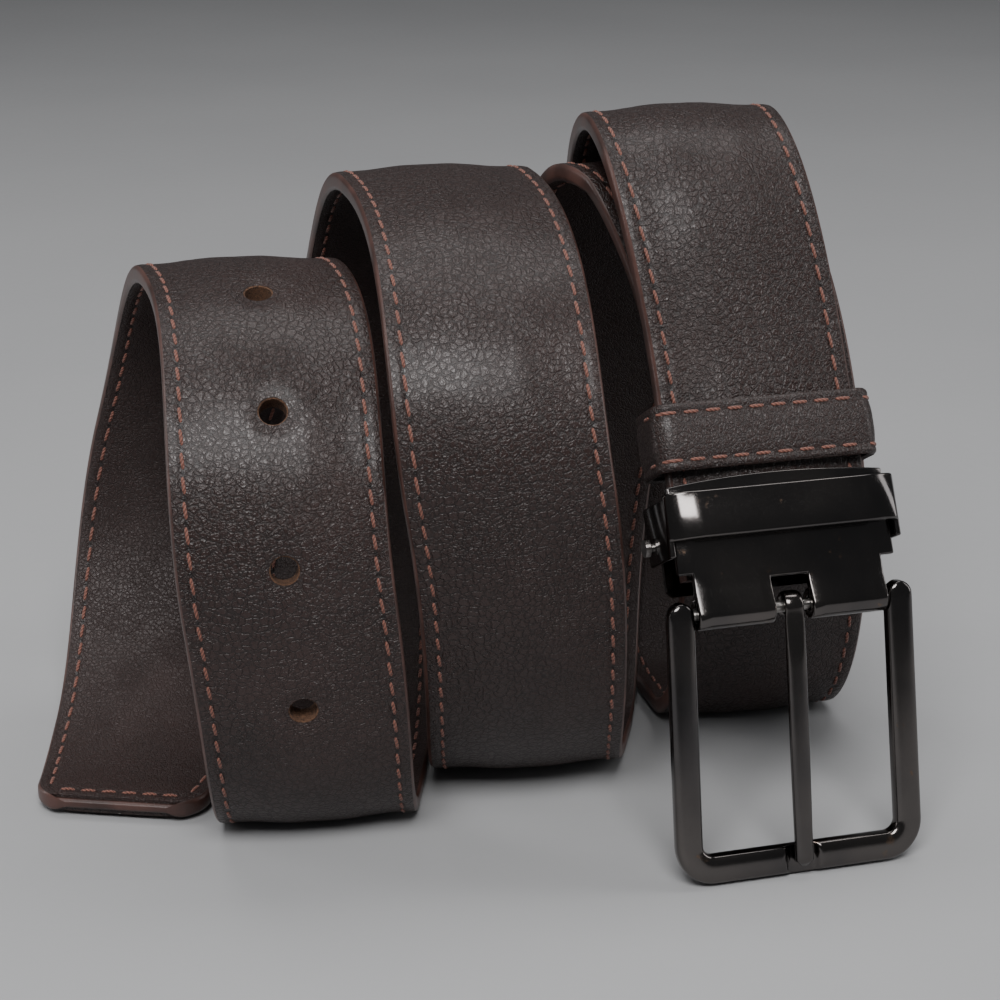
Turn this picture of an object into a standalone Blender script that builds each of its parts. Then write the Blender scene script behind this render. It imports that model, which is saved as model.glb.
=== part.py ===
"""Gentleman's leather dress belt, coiled on its side like a spring, with a clamp buckle.

Metres, +Z up. The origin is on the floor under the middle turn, +X runs along the coil
from the tip to the buckle, and -Y is the side the buckle hangs on.
"""
import math

import bmesh
import bpy
from mathutils import Matrix, Vector

MM = 0.001

# strap
STRAP_WIDTH = 35 * MM
STRAP_THICKNESS = 3.4 * MM        # at the painted edge
CROWN = 0.9 * MM                  # how far the padded middle stands above the edge
LAYER_GAP = 0.3 * MM              # between two layers that lie on each other
CROWN_FLAT = 9 * MM               # flat middle of the padded face
PAD_WIDTH = 25 * MM
PAD_RISE = 1.1 * MM               # room that the pad takes above the glue line
PAD_LIFT = 0.25 * MM              # the pad's clearance over the lining where the strap twists
PAD_SLACK = 0.08 * MM             # and under the face
EDGE_ROUND = 0.6 * MM
STITCH_INSET = 2.6 * MM
THREAD = 0.6 * MM
THREAD_FLATNESS = 0.6             # the thread's height over its width
THREAD_GAP = 0.38 * MM
LINING_THREAD_LIFT = 0.1 * MM
TIP_CORNER = 5 * MM
TIP_TAPER = STRAP_WIDTH * 2.7 / 35  # the end narrows by this much on each side
TIP_TAPER_LENGTH = 26 * MM
TIP_SWELL = 0.1                   # share of the crown at the very tip
PAD_START = 6 * MM                # the face is nearly flat up to here, where the tip is stitched
PAD_RAMP = 12 * MM                # and swells to the full crown over this length
STATION = 8 * MM                  # longest step along the strap

# punched holes
HOLE_RADIUS = 2.5 * MM
HOLE_COUNT = 5
FIRST_HOLE = 136 * MM             # from the tip to the first hole
HOLE_PITCH = 25 * MM

# coil
TURN_GAP = STRAP_WIDTH * 4 / 35    # between two turns side by side
TURN_PITCH = STRAP_WIDTH + TURN_GAP
LAYER_STEP = STRAP_THICKNESS + CROWN + 5.7 * MM   # outer layer over the inner one
REST_RUN = 8 * MM                 # flat stretch where a turn stands on the floor
TOP_1, TOP_2, TOP_3 = 93 * MM, 105.5 * MM, 106.5 * MM

# buckle
FRAME_LENGTH = 46 * MM            # pin to the outer edge of the bottom bar
FRAME_WIDTH = 43.6 * MM
FRAME_FLARE = 0.4 * MM            # each arm leans out by this much at the bottom
ARM_WIDTH = 4.7 * MM
FRAME_DEPTH = 3.4 * MM
BAR_HEIGHT = 5 * MM
FRAME_CORNER = 6.5 * MM
WINDOW_CORNER = 2.5 * MM
FRAME_LEAN = math.radians(13)     # of the frame, from upright
CLAMP_LEAN = math.radians(30)     # of the clamp, from upright
BUCKLE_TURN = math.radians(15)    # of the whole buckle, about the vertical
PIN_ACROSS = 1.07 * TURN_PITCH
PIN_AWAY = -38 * MM
PIN_RADIUS = 1.0 * MM
BORE_GAP = 0.3 * MM
KNUCKLE_RADIUS = 2.6 * MM
KNUCKLE_IN = 3.2 * MM             # from the middle to the first knuckle
TAB_HALF = 16.9 * MM
BARREL_STEP = 0.1 * MM            # the rolled knuckles are this much shorter at each end
PLATE_SIDE = 1.75 * MM            # the plate overhangs the strap by this on each side
PLATE_THICKNESS = 1.5 * MM
PLATE_FOOT = 6.7 * MM             # lower edge of the wide part, above the pin
PLATE_SLOPE = 0.3 * MM            # its lower corners rise by this much outwards
PLATE_TOP = 21.5 * MM
PLATE_BOW = 1.2 * MM
PRONG_SLOT = 5 * MM
BAR_FOOT = 12.2 * MM
BAR_TOP = 20.2 * MM
BAR_THICKNESS = 3 * MM
BAR_BEVEL = 2 * MM
WALL_BACK = 0.4 * MM              # the side walls reach this far behind the flap's barrel
SIDE_WALL = 1 * MM
SIDE_FOOT = 9.5 * MM
STRAP_END = 6 * MM                # the strap stops this far above the pin
RUN = 40 * MM                     # straight stretch of strap above the pin
FLAP_THICKNESS = 1.2 * MM
FLAP_PIVOT = 12.8 * MM            # height of the flap's pivot above the pin
FLAP_FOOT = 4 * MM
FLAP_BARREL = 1.7 * MM
FLAP_PIN = 0.8 * MM
FLAP_HEAD = 1.5 * MM
FLAP_HEAD_THICKNESS = 0.9 * MM
FLAP_PIN_IN = 6 * MM              # how deep each pin reaches into the flap's barrel
FLAP_CORNER = 1 * MM
TOOTH = 0.9 * MM                  # how far each tooth stands out of the flap
TOOTH_POINT = 0.15 * MM
TOOTH_UP = 4 * MM                 # from the flap's lower edge to the row of teeth
TOOTH_IN = 4 * MM                 # from the flap's side to the first tooth
TEETH = 7
PRONG_WIDTH = 3.4 * MM
PRONG_THICKNESS = 2 * MM
PRONG_REST = 1.1 * MM             # depth of the frame's notch under the prong
PRONG_SIDE_GAP = 0.5 * MM
PRONG_SHORT = 1.4 * MM            # the prong ends this far inside the bar's outer edge
PRONG_SHOULDER = 7 * MM           # below the pin, where its front becomes flat
PIN_SHORT = 1.2 * MM              # each end of the pin stops this far inside the frame

# keeper
KEEPER_WIDTH = 11.5 * MM
KEEPER_WALL = 1.4 * MM
KEEPER_SIDE_GAP = 0.9 * MM
KEEPER_FRONT_GAP = 0.5 * MM
KEEPER_BACK_GAP = 4.6 * MM        # room for the strap's tip behind the strap
KEEPER_CORNER = 1.6 * MM
KEEPER_LIFT = 1.4 * MM            # above the clamp's mouth
STAPLE_WIDTH = 9 * MM
STAPLE_WIRE = 1 * MM
STAPLE_DEPTH = 0.6 * MM
KEEPER_STITCH_TOP = 2 * MM        # from the upper edge to the upper row of stitches
KEEPER_STITCH_LOW = 1.4 * MM

HALF = STRAP_THICKNESS / 2
REST_HEIGHT = HALF + CROWN        # of the strap's middle line above the floor
PIN_OUT = HALF + CROWN - 0.1 * MM     # the pin lies this far in front of the strap's middle
PIN_HEIGHT = FRAME_LENGTH * math.cos(FRAME_LEAN) + FRAME_DEPTH / 2 * math.sin(FRAME_LEAN)
PLATE_HALF = STRAP_WIDTH / 2 + PLATE_SIDE
PLATE_BACK = -(CROWN + HALF - PIN_OUT) - LAYER_GAP
PLATE_FRONT = PLATE_BACK - PLATE_THICKNESS
BEZIER_ARC = 0.5523               # handle length that makes a quarter circle
RIGHT, AWAY, UP = Vector((1, 0, 0)), Vector((0, 1, 0)), Vector((0, 0, 1))


def clear_scene():
    for thing in list(bpy.data.objects):
        bpy.data.objects.remove(thing, do_unlink=True)


def collection(name):
    made = bpy.data.collections.new(name)
    bpy.context.scene.collection.children.link(made)
    return made


def material(name, colour, roughness, metallic=0.0):
    made = bpy.data.materials.new(name)
    made.use_nodes = True
    shader = made.node_tree.nodes["Principled BSDF"]
    shader.inputs["Base Color"].default_value = (*colour, 1)
    shader.inputs["Roughness"].default_value = roughness
    shader.inputs["Metallic"].default_value = metallic
    return made


clear_scene()
BELT = collection("leather_belt")
CUTTERS = collection("cutters")
FACE_LEATHER = material("face_leather", (0.045, 0.018, 0.014), 0.45)
EDGE_FELT = material("padding_felt", (0.12, 0.08, 0.05), 0.95)
LINING_LEATHER = material("lining_leather", (0.05, 0.026, 0.022), 0.6)
THREAD_FINISH = material("thread", (0.28, 0.09, 0.06), 0.7)
GUNMETAL = material("gunmetal", (0.12, 0.11, 0.11), 0.22, 1.0)
PIN_STEEL = material("pin_steel", (0.35, 0.33, 0.32), 0.3, 1.0)


# ---------------------------------------------------------------- the coil's route

def turned(angle):
    """Width direction and the level direction square to it, for a turn about the vertical."""
    return Matrix.Rotation(angle, 3, "Z") @ RIGHT, Matrix.Rotation(angle, 3, "Z") @ AWAY


def buckle_seat():
    """Local frame of the clamp at the cross pin: X along the pin, Y inwards, Z up the strap."""
    place = Matrix.Translation((PIN_ACROSS, PIN_AWAY, PIN_HEIGHT))
    return place @ Matrix.Rotation(BUCKLE_TURN, 4, "Z") @ Matrix.Rotation(-CLAMP_LEAN, 4, "X")


def waypoints():
    """The strap's middle line round the coil: place, turn of its width, and which way it runs.

    The places are given as turns along the coil, then millimetres away and up. "level" points
    are the tops and the stretches on the floor, "upright" ones the backs and fronts.
    """
    seat = buckle_seat()
    run_top = seat @ Vector((0, PIN_OUT, RUN))
    inner_back, inner_top = 43 * MM, Vector((0.59, 16 * MM, TOP_3))
    return [
        ("level", (-1.915, -26 * MM, REST_HEIGHT), -3),
        ("upright", (-1.74, 29 * MM, 0.56 * TOP_1), 6),
        ("level", (-1.31, -5 * MM, TOP_1), 9),
        ("upright", (-1.05, -48 * MM, 0.52 * TOP_1), 8),
        ("level", (-0.985, -23 * MM, REST_HEIGHT), 8),
        ("upright", (-0.87, 51 * MM, 0.50 * TOP_2), 9),
        ("level", (-0.46, 14 * MM, TOP_2), 9),
        ("upright", (-0.13, -39 * MM, 0.61 * TOP_2), 8),
        ("level", (0.00, 0.0, REST_HEIGHT), 7),
        ("upright", (0.25, inner_back, 0.54 * TOP_3), 8),
        ("level", inner_top, 8),
        ("upright", (1.05, -5 * MM, 0.56 * TOP_3), 9),
        ("level", (1.00, 20 * MM, REST_HEIGHT), 10),
        ("upright", (0.66, inner_back + LAYER_STEP, 0.54 * TOP_3), 10),
        ("level", (0.655, inner_top.y - 1 * MM, TOP_3 + LAYER_STEP), 13),
        ("end", (run_top.x / TURN_PITCH, run_top.y, run_top.z), math.degrees(BUCKLE_TURN)),
    ]


def route_knots():
    """Waypoints as points with a unit direction; the stretches on the floor become two points."""
    points = [(kind, Vector((p[0] * TURN_PITCH, p[1], p[2])), math.radians(turn))
              for kind, p, turn in waypoints()]
    knots = []
    for i, (kind, place, turn) in enumerate(points):
        before, after = points[max(i - 1, 0)][1], points[min(i + 1, len(points) - 1)][1]
        width, level = turned(turn)
        along = after - before
        if kind == "level":
            heading = (width * along.dot(width) + level * along.dot(level)).normalized()
            if abs(heading.dot(level)) < 0.9:
                heading = (level * math.copysign(1, heading.dot(level))
                           + width * math.copysign(0.35, along.dot(width))).normalized()
        elif kind == "upright":
            heading = (width * along.dot(width) + UP * along.z).normalized()
        else:
            heading = -(buckle_seat().to_3x3() @ UP)
        on_floor = kind == "level" and abs(place.z - REST_HEIGHT) < 0.01 * MM
        if on_floor:
            half_run = heading * (REST_RUN / 2)
            knots.append((kind, place - half_run, turn, heading))
            knots.append((kind, place + half_run, turn, heading))
        else:
            knots.append((kind, place, turn, heading))
    return knots


def handle(kind, heading, step, turn):
    """Bezier handle along heading that rounds the corner like a quarter ellipse."""
    if kind == "end":
        return heading * (BEZIER_ARC * step.length * 0.7)
    main = UP if kind == "upright" else turned(turn)[1]
    reach = abs(BEZIER_ARC * step.dot(main))
    return heading * (reach / max(abs(heading.dot(main)), 0.5))


def stations():
    """Centre, width direction and outward normal every few millimetres from tip to clamp."""
    knots = route_knots()
    line = []
    for (kind_a, a, turn_a, dir_a), (kind_b, b, turn_b, dir_b) in zip(knots, knots[1:]):
        step = b - a
        if (step.length - REST_RUN) < 0.01 * MM and step.z == 0:
            p1, p2 = a.lerp(b, 1 / 3), a.lerp(b, 2 / 3)
            parts = 1
        else:
            p1 = a + handle(kind_a, dir_a, step, turn_a)
            p2 = b - handle(kind_b, dir_b, step, turn_b)
            parts = math.ceil(step.length * 1.1 / STATION)
        for k in range(parts):
            t = k / parts
            u = 1 - t
            centre = a * u**3 + p1 * (3 * u * u * t) + p2 * (3 * u * t * t) + b * t**3
            slope = (p1 - a) * (u * u) + (p2 - p1) * (2 * u * t) + (b - p2) * (t * t)
            line.append((centre, slope.normalized(), turn_a + (turn_b - turn_a) * t))
    last_kind, last, last_turn, last_dir = knots[-1]
    straight = RUN - STRAP_END
    parts = math.ceil(straight / STATION)
    for k in range(parts + 1):
        line.append((last + last_dir * (straight * k / parts), last_dir, last_turn))
    found = []
    for centre, along, turn in line:
        width = turned(turn)[0]
        width = (width - along * width.dot(along)).normalized()
        found.append((centre, width, along.cross(width), along))
    return found


def tip_stations(line):
    """The line with extra stations where the tip's corners are rounded, and each one's distance."""
    first, width, normal, along = line[0]
    corner_steps = [TIP_CORNER * (1 - math.cos(math.radians(a))) for a in (0, 30, 60, 90)]
    fine = [(first + along * d, width, normal, along) for d in corner_steps]
    places = fine + line[1:]
    distance, travelled = 0.0, [0.0]
    for a, b in zip(places, places[1:]):
        distance += (b[0] - a[0]).length
        travelled.append(distance)
    return places, travelled


def half_width(distance):
    """Half of the strap's width this far from the tip."""
    side = STRAP_WIDTH / 2
    side -= TIP_TAPER * max(0.0, 1 - distance / TIP_TAPER_LENGTH) ** 2
    if distance < TIP_CORNER:
        side -= TIP_CORNER - math.sqrt(TIP_CORNER**2 - (TIP_CORNER - distance) ** 2)
    return side


def swell(distance):
    """Share of the crown that the face has this far from the tip."""
    share = min(max((distance - PAD_START) / PAD_RAMP, 0.0), 1.0)
    return TIP_SWELL + (1 - TIP_SWELL) * share * share * (3 - 2 * share)


LINE, TRAVELLED = tip_stations(stations())
LENGTH = TRAVELLED[-1]


def loft(name, rings, finish, closed=False):
    """A solid through rings of points; its two ends are capped, or joined when it is closed."""
    mesh = bpy.data.meshes.new(name)
    build = bmesh.new()
    loops = [[build.verts.new(p) for p in ring] for ring in rings]
    pairs = list(zip(loops, loops[1:])) + ([(loops[-1], loops[0])] if closed else [])
    for a, b in pairs:
        count = len(a)
        for i in range(count):
            j = (i + 1) % count
            build.faces.new((a[i], a[j], b[j], b[i]))
    if not closed:
        build.faces.new(loops[0])
        build.faces.new(loops[-1])
    bmesh.ops.recalc_face_normals(build, faces=build.faces)
    build.to_mesh(mesh)
    build.free()
    made = bpy.data.objects.new(name, mesh)
    made.data.materials.append(finish)
    BELT.objects.link(made)
    return made


def swept(name, section, finish, start=0.0, end=0.0):
    """Sweep section(half width, swell) along the strap, but for start and end at its ends."""
    rings = []
    for (centre, width, normal, _), distance in zip(LINE, TRAVELLED):
        if distance < start - 1e-9 or distance > LENGTH - end + 1e-9:
            continue
        outline = section(half_width(distance), swell(distance))
        rings.append([centre + width * x + normal * z for x, z in outline])
    return loft(name, rings, finish)


# ---------------------------------------------------------------- strap

def face_section(side, rise):
    """Face leather: rounded painted edge, low by the stitches, crowned over the pad."""
    low, pad = LAYER_GAP / 2, PAD_WIDTH / 2 * side / (STRAP_WIDTH / 2)
    crown = CROWN * rise
    inner_rise = low + PAD_RISE * (0.2 + 0.8 * rise)
    flat = CROWN_FLAT / 2
    right = [(pad + 0.6 * MM, low), (side, low), (side, HALF - EDGE_ROUND),
             (side - EDGE_ROUND, HALF), (side - STITCH_INSET - 2 * MM, HALF + 0.05 * crown),
             (pad * 0.75, HALF + 0.7 * crown), (flat, HALF + crown)]
    left = [(-x, z) for x, z in reversed(right)]
    roof = [(-pad * 0.7, inner_rise), (pad * 0.7, inner_rise)]
    return right + left + roof


def pad_section(side, rise):
    """Felt pad in the pocket between the face and the lining."""
    pad = PAD_WIDTH / 2 * side / (STRAP_WIDTH / 2)
    low = LAYER_GAP / 2 + PAD_LIFT
    top = low + PAD_RISE * (0.2 + 0.8 * rise) - LAYER_GAP - PAD_LIFT - PAD_SLACK
    return [(-pad * 0.88, low), (pad * 0.88, low), (pad * 0.64, top), (-pad * 0.64, top)]


def lining_section(side, _):
    low = -LAYER_GAP / 2
    return [(side, low), (-side, low), (-side, -HALF + EDGE_ROUND), (-side + EDGE_ROUND, -HALF),
            (side - EDGE_ROUND, -HALF), (side, -HALF + EDGE_ROUND)]


def stitch_thread(name, outward):
    """One thread: up one side, round the tip and down the other, just proud of the leather."""
    level = HALF + THREAD_GAP + (0.05 * CROWN if outward > 0 else LINING_THREAD_LIFT)
    near = next(d for d in TRAVELLED if d > STITCH_INSET - THREAD / 2)
    sides = {-1: [], 1: []}
    for (centre, width, normal, along), distance in zip(LINE, TRAVELLED):
        if distance < near or distance > LENGTH - STITCH_INSET:
            continue
        for side in sides:
            middle = side * (half_width(distance) - STITCH_INSET)
            ring = []
            for x, z in ((-1, 0), (1, 0), (1, 1), (-1, 1)):
                lift = level + z * THREAD * THREAD_FLATNESS
                mitre = along * THREAD if distance == near and x < 0 else Vector()
                ring.append(centre + width * (middle + side * x * THREAD / 2)
                            + normal * (lift * outward) + mitre)
            sides[side].append(ring)
    return loft(name, sides[-1][::-1] + sides[1], THREAD_FINISH)


def cutter_cylinder(name, radius, length, place, segments=20):
    """A round cutter along its own Z, put in place by a matrix."""
    mesh = bpy.data.meshes.new(name)
    build = bmesh.new()
    bmesh.ops.create_cone(build, cap_ends=True, segments=segments, radius1=radius,
                          radius2=radius, depth=length)
    build.to_mesh(mesh)
    build.free()
    return as_cutter(bpy.data.objects.new(name, mesh), place)


def cutter_box(name, low, high, place):
    mesh = bpy.data.meshes.new(name)
    build = bmesh.new()
    bmesh.ops.create_cube(build, size=1)
    low, high = Vector(low), Vector(high)
    bmesh.ops.scale(build, vec=high - low, verts=build.verts)
    bmesh.ops.translate(build, vec=(low + high) / 2, verts=build.verts)
    build.to_mesh(mesh)
    build.free()
    return as_cutter(bpy.data.objects.new(name, mesh), place)


def as_cutter(made, place):
    made.matrix_world = place
    made.hide_render = True
    made.display_type = "WIRE"
    CUTTERS.objects.link(made)
    return made


def boolean(target, other, operation):
    step = target.modifiers.new(other.name, "BOOLEAN")
    step.operation = operation
    step.object = other
    step.solver = "EXACT"


def at_distance(distance):
    """Matrix on the strap's middle line: X across, Z outwards, this far from the tip."""
    i = max(k for k, d in enumerate(TRAVELLED) if d <= distance)
    share = (distance - TRAVELLED[i]) / (TRAVELLED[i + 1] - TRAVELLED[i])
    (a, wa, na, _), (b, wb, nb, _) = LINE[i], LINE[i + 1]
    normal = na.lerp(nb, share).normalized()
    width = wa.lerp(wb, share)
    width = (width - normal * width.dot(normal)).normalized()
    turn = Matrix((width, normal.cross(width), normal)).transposed().to_4x4()
    return Matrix.Translation(a.lerp(b, share)) @ turn


def make_strap():
    face = swept("strap_face", face_section, FACE_LEATHER)
    pad = swept("strap_padding", pad_section, EDGE_FELT, start=PAD_START + PAD_RAMP, end=STITCH_INSET)
    lining = swept("strap_lining", lining_section, LINING_LEATHER)
    stitch_thread("face_stitching", 1)
    stitch_thread("lining_stitching", -1)
    for i in range(HOLE_COUNT):
        place = at_distance(FIRST_HOLE + i * HOLE_PITCH)
        punch = cutter_cylinder(f"hole_punch_{i + 1}", HOLE_RADIUS, 5 * STRAP_THICKNESS, place)
        for layer in (face, pad, lining):
            boolean(layer, punch, "DIFFERENCE")


# ---------------------------------------------------------------- buckle pieces

SEAT = buckle_seat()
FRAME_SEAT = SEAT @ Matrix.Rotation(CLAMP_LEAN - FRAME_LEAN, 4, "X")


def outline_plate(name, outline, thickness, stand):
    """A flat outline given thickness: its own X and Z stay, and stand turns it into place."""
    path = bpy.data.curves.new(name + "_outline", "CURVE")
    path.dimensions = "2D"
    path.fill_mode = "BOTH"
    path.extrude = thickness / 2
    spline = path.splines.new("POLY")
    spline.points.add(len(outline) - 1)
    for point, (x, y) in zip(spline.points, outline):
        point.co = (x, y, 0, 1)
    spline.use_cyclic_u = True
    flat = bpy.data.objects.new(name + "_outline", path)
    BELT.objects.link(flat)
    seen = flat.evaluated_get(bpy.context.evaluated_depsgraph_get())
    mesh = bpy.data.meshes.new_from_object(seen)
    bpy.data.objects.remove(flat, do_unlink=True)
    build = bmesh.new()
    build.from_mesh(mesh)
    bmesh.ops.remove_doubles(build, verts=build.verts, dist=0.001 * MM)
    bmesh.ops.transform(build, matrix=stand, verts=build.verts)
    bmesh.ops.recalc_face_normals(build, faces=build.faces)
    build.to_mesh(mesh)
    build.free()
    mesh.name = name
    return mesh


FRONT_VIEW = Matrix.Rotation(math.radians(90), 4, "X")     # outline x, y -> X, Z
SIDE_VIEW = Matrix(((0, 0, 1, 0), (1, 0, 0, 0), (0, 1, 0, 0), (0, 0, 0, 1)))  # -> Y, Z
TOP_VIEW = Matrix.Identity(4)                               # outline x, y -> X, Y
ALONG_PIN = Matrix.Rotation(math.radians(90), 4, "Y")


def fitted(name, mesh, finish, place, bevel=0.0):
    made = bpy.data.objects.new(name, mesh)
    made.data.materials.clear()
    made.data.materials.append(finish)
    made.matrix_world = place
    BELT.objects.link(made)
    if bevel:
        step = made.modifiers.new("edges", "BEVEL")
        step.width = bevel
        step.segments = 1
        step.limit_method = "ANGLE"
        step.angle_limit = math.radians(50)
    return made


def arc(centre, radius, start, end, steps):
    """Points on an arc, angles in degrees, both ends included."""
    return [(centre[0] + radius * math.cos(math.radians(start + (end - start) * k / steps)),
             centre[1] + radius * math.sin(math.radians(start + (end - start) * k / steps)))
            for k in range(steps + 1)]


def mirrored(half):
    """A closed outline from its right half, given from the bottom to the top."""
    return half + [(-x, y) for x, y in reversed(half) if abs(x) > 1e-9]


def rod_mesh(name, pieces, segments=20):
    """Coaxial cylinders along X that make one turned pin: (from, to, radius) each."""
    profile = [(x, radius) for start, end, radius in pieces for x in (start, end)]
    mesh = bpy.data.meshes.new(name)
    build = bmesh.new()
    rings = []
    for x, radius in profile:
        rings.append([build.verts.new((x, radius * math.cos(2 * math.pi * k / segments),
                                       radius * math.sin(2 * math.pi * k / segments)))
                      for k in range(segments)])
    for a, b in zip(rings, rings[1:]):
        for k in range(segments):
            m = (k + 1) % segments
            build.faces.new((a[k], a[m], b[m], b[k]))
    build.faces.new(rings[0])
    build.faces.new(rings[-1])
    bmesh.ops.recalc_face_normals(build, faces=build.faces)
    build.to_mesh(mesh)
    build.free()
    return mesh


def make_clamp_plate():
    bow = [(x, PLATE_TOP + PLATE_BOW * (1 - (x / PLATE_HALF) ** 2))
           for x in (PLATE_HALF, PLATE_HALF * 0.75, PLATE_HALF * 0.5, PLATE_HALF * 0.25, 0.0)]
    half = [(KNUCKLE_IN, PRONG_SLOT), (KNUCKLE_IN, 0.0), (TAB_HALF, 0.0),
            (TAB_HALF, PLATE_FOOT), (PLATE_HALF, PLATE_FOOT + PLATE_SLOPE)] + bow
    stand = Matrix.Translation((0, (PLATE_FRONT + PLATE_BACK) / 2, 0)) @ FRONT_VIEW
    mesh = outline_plate("clamp_plate", mirrored(half), PLATE_THICKNESS, stand)
    plate = fitted("clamp_plate", mesh, GUNMETAL, SEAT)
    knuckle = TAB_HALF - KNUCKLE_IN - 2 * BARREL_STEP
    for side in (-1, 1):
        middle = side * (KNUCKLE_IN + TAB_HALF) / 2
        barrel = cutter_cylinder(f"knuckle_{'left' if side < 0 else 'right'}", KNUCKLE_RADIUS,
                                 knuckle, SEAT @ Matrix.Translation((middle, 0, 0)) @ ALONG_PIN)
        boolean(plate, barrel, "UNION")
    bore = cutter_cylinder("pin_bore", PIN_RADIUS + BORE_GAP, FRAME_WIDTH * 1.5, SEAT @ ALONG_PIN)
    boolean(plate, bore, "DIFFERENCE")
    return bore


def make_clamp_bar():
    """Raised front bar with two side walls that hold the flap's pins."""
    inner = PLATE_HALF + LAYER_GAP
    outer = inner + SIDE_WALL
    back = FLAP_Y + FLAP_BARREL + WALL_BACK
    front_in = PLATE_FRONT - LAYER_GAP
    front = front_in - BAR_THICKNESS
    half = [(outer - BAR_BEVEL, front), (outer, front + BAR_BEVEL), (outer, back),
            (inner, back), (inner, front_in)]
    stand = Matrix.Translation((0, 0, (SIDE_FOOT + BAR_TOP) / 2)) @ TOP_VIEW
    mesh = outline_plate("clamp_bar", mirrored(half), BAR_TOP - SIDE_FOOT, stand)
    bar = fitted("clamp_bar", mesh, GUNMETAL, SEAT)
    below = cutter_box("bar_underside", (-outer * 2, front - BAR_THICKNESS, SIDE_FOOT - BAR_TOP),
                       (outer * 2, front_in + LAYER_GAP / 2, BAR_FOOT), SEAT)
    boolean(bar, below, "DIFFERENCE")
    holes = cutter_cylinder("flap_pin_holes", FLAP_PIN + BORE_GAP, outer * 3,
                            FLAP_SEAT @ ALONG_PIN)
    boolean(bar, holes, "DIFFERENCE")
    return outer


BEHIND_STRAP = (PIN_OUT + HALF + LAYER_GAP + THREAD_GAP + LINING_THREAD_LIFT
                + THREAD * THREAD_FLATNESS)
FLAP_Y = BEHIND_STRAP + FLAP_BARREL
FLAP_HALF = PLATE_HALF - LAYER_GAP
FLAP_SEAT = SEAT @ Matrix.Translation((0, FLAP_Y, FLAP_PIVOT))


def make_clamp_flap(outer):
    """Toothed jaw behind the strap's end, rolled round its pivot pins, and the two pins."""
    jaw_front = TOOTH - FLAP_BARREL
    foot = FLAP_FOOT - FLAP_PIVOT
    half = [(FLAP_HALF - FLAP_CORNER, foot), (FLAP_HALF, foot + FLAP_CORNER), (FLAP_HALF, 0.0)]
    stand = Matrix.Translation((0, jaw_front + FLAP_THICKNESS / 2, 0)) @ FRONT_VIEW
    mesh = outline_plate("clamp_flap", mirrored(half), FLAP_THICKNESS, stand)
    flap = fitted("clamp_flap", mesh, GUNMETAL, FLAP_SEAT)
    roll = FLAP_SEAT @ ALONG_PIN
    barrel = cutter_cylinder("flap_barrel", FLAP_BARREL, 2 * FLAP_HALF, roll, segments=24)
    boolean(flap, barrel, "UNION")
    spread = 2 * (FLAP_HALF - TOOTH_IN) / (TEETH - 1)
    for i in range(TEETH):
        name = f"tooth_{i + 1}"
        mesh = bpy.data.meshes.new(name)
        build = bmesh.new()
        bmesh.ops.create_cone(build, cap_ends=True, segments=8, radius1=TOOTH,
                              radius2=TOOTH_POINT, depth=2 * TOOTH)
        build.to_mesh(mesh)
        build.free()
        point = Matrix.Translation((TOOTH_IN - FLAP_HALF + i * spread, jaw_front, foot + TOOTH_UP))
        tooth = as_cutter(bpy.data.objects.new(name, mesh),
                          FLAP_SEAT @ point @ Matrix.Rotation(math.radians(90), 4, "X"))
        boolean(flap, tooth, "UNION")
    bore = cutter_cylinder("flap_bore", FLAP_PIN + BORE_GAP, 4 * FLAP_HALF, roll)
    boolean(flap, bore, "DIFFERENCE")
    head = outer + LAYER_GAP
    for side, name in ((-1, "flap_pin_left"), (1, "flap_pin_right")):
        mesh = rod_mesh(name, [(FLAP_HALF - FLAP_PIN_IN, head, FLAP_PIN),
                               (head, head + FLAP_HEAD_THICKNESS, FLAP_HEAD)])
        turn = Matrix.Identity(4) if side > 0 else Matrix.Rotation(math.pi, 4, "Z")
        fitted(name, mesh, PIN_STEEL, FLAP_SEAT @ turn)


def make_frame(bore):
    """Rectangular frame open at the top, whose arms turn on the cross pin."""
    half_top, flare, foot = FRAME_WIDTH / 2, FRAME_FLARE, -FRAME_LENGTH
    half_low = half_top + flare
    boss = ARM_WIDTH / 2
    inner_top, inner_low = half_top - ARM_WIDTH, half_low - ARM_WIDTH
    outer_corner = arc((half_low - FRAME_CORNER, foot + FRAME_CORNER), FRAME_CORNER, -90, 0, 5)
    window = arc((inner_low - WINDOW_CORNER, foot + BAR_HEIGHT + WINDOW_CORNER),
                 WINDOW_CORNER, 0, -90, 3)
    head = arc((half_top - boss, 0), boss, 0, 180, 6)
    right = outer_corner + head + window
    mesh = outline_plate("buckle_frame", mirrored(right), FRAME_DEPTH, FRONT_VIEW)
    frame = fitted("buckle_frame", mesh, GUNMETAL, FRAME_SEAT, bevel=0.7 * MM)
    notch_half = PRONG_WIDTH / 2 + PRONG_SIDE_GAP
    notch = cutter_box("prong_notch", (-notch_half, -FRAME_DEPTH, foot - BAR_HEIGHT),
                       (notch_half, -FRAME_DEPTH / 2 + PRONG_REST, foot + 2 * BAR_HEIGHT),
                       FRAME_SEAT)
    boolean(frame, notch, "DIFFERENCE")
    boolean(frame, bore, "DIFFERENCE")


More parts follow.
